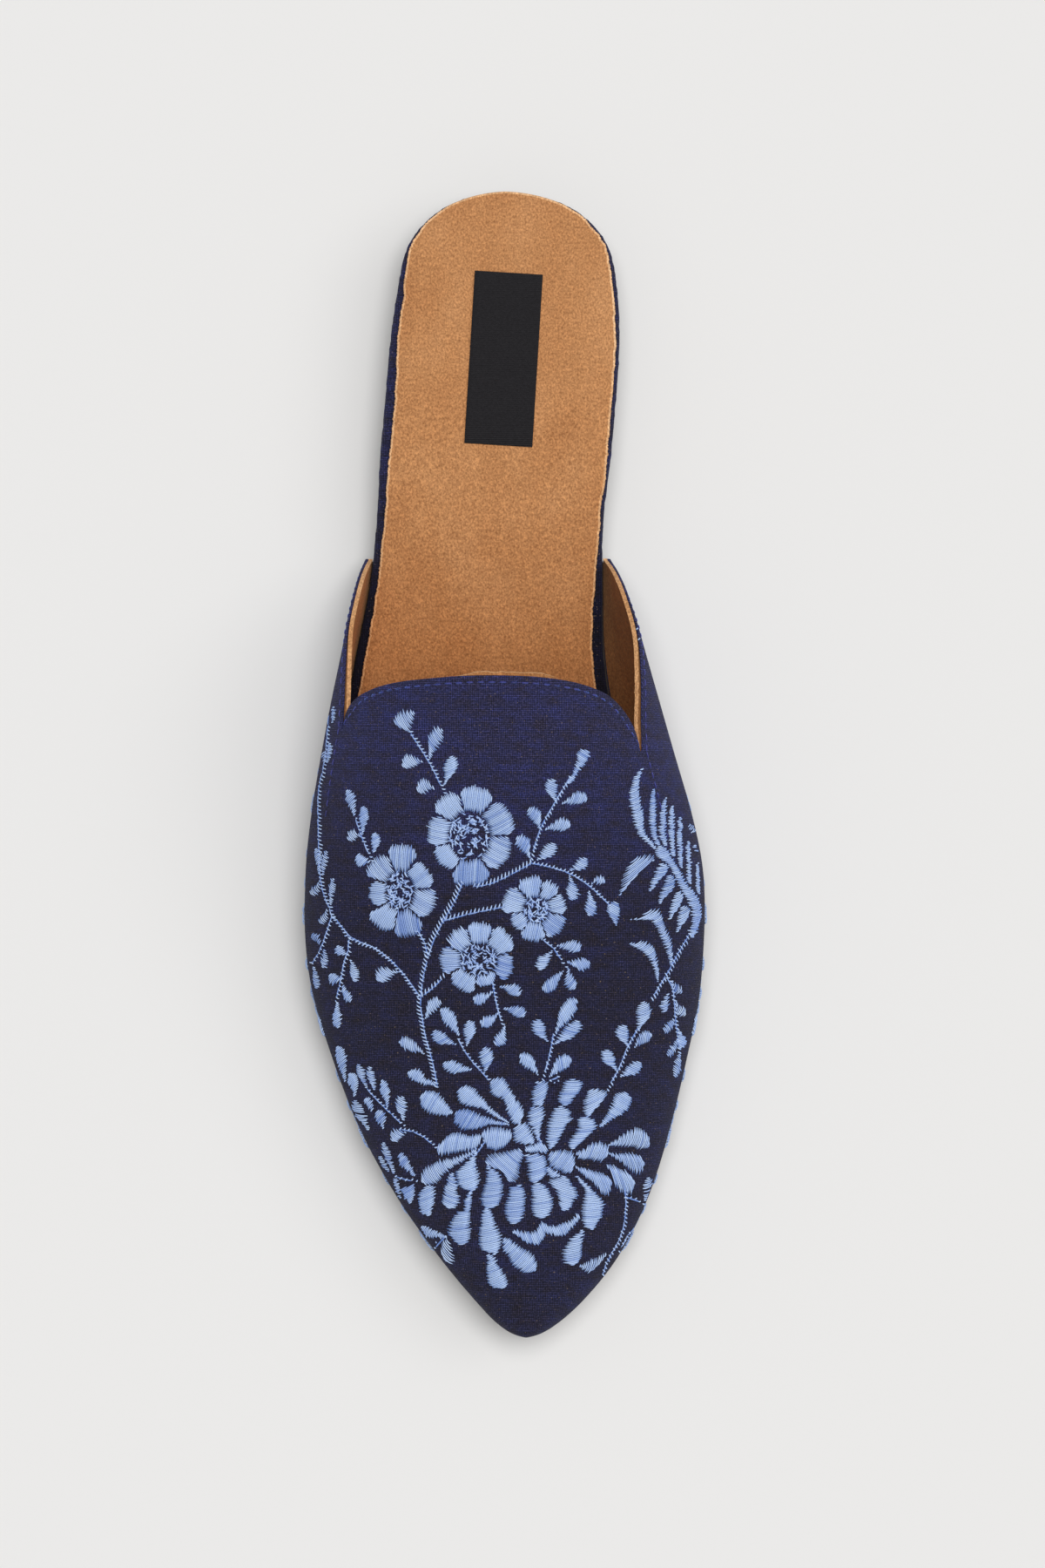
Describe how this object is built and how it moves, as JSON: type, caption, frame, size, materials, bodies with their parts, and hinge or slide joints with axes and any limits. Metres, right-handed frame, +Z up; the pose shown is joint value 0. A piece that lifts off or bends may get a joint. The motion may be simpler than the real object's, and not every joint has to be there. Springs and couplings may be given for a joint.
{
  "type": "pointed flat mule",
  "caption": "Pointed-toe flat mule shoe for the right foot: open back, closed fabric vamp with a rounded tongue edge, suede insole, thin sole with a low heel.",
  "frame": {"origin": "on the floor, under the centre of the shoe's bounding box", "axes": "+Z up, -Y towards the toe, +Y towards the heel, +X towards the inner (medial) side of the right foot"},
  "size_m": [0.0931, 0.266, 0.0616],
  "materials": {
    "heel_rubber": "matt, plain",
    "sole_rubber": "matt, finely grained",
    "footbed_fabric": "navy woven fabric, dull",
    "insole_suede": "tan suede, soft nap",
    "label_patch": "black, smooth and slightly glossy, bare",
    "upper_fabric": "navy slubbed weave with raised light blue floral embroidery, tan suede lining"
  },
  "bodies": {
    "root": {"heel": "heel_rubber", "outsole": "sole_rubber", "footbed": "footbed_fabric", "insole": "insole_suede", "label": "label_patch", "upper": "upper_fabric"}
  },
  "joints": []
}
